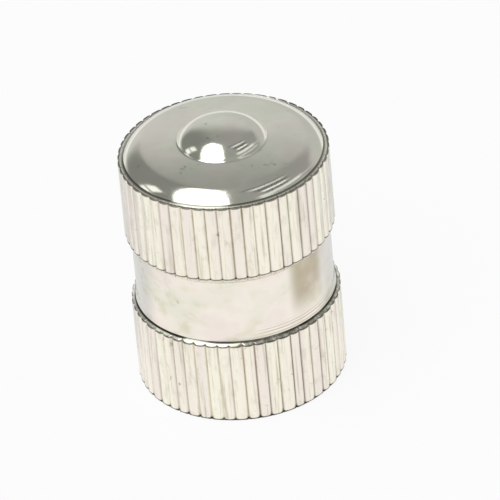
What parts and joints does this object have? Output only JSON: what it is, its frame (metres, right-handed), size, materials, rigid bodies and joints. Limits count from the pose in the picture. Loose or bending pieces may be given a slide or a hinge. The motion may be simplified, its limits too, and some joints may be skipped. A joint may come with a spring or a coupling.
{
  "type": "tyre valve cap",
  "caption": "Screw-on metal cap for a tyre valve stem, with ribbed grip bands, a smooth waist, a crowned top with a raised nub and a rubber sealing washer inside.",
  "frame": {"origin": "on the cap's axis, in the plane of the open mouth that it stands on", "axes": "+Z along the axis from the mouth to the crown; a groove between two ribs faces -Y"},
  "size_m": [0.01, 0.01, 0.0136],
  "materials": {
    "nickel_plate": "bright nickel plate over turned brass, lightly worn",
    "black_rubber": "matte punched rubber"
  },
  "bodies": {
    "root": {"cap_shell": "nickel_plate", "sealing_washer": "black_rubber"}
  },
  "joints": []
}
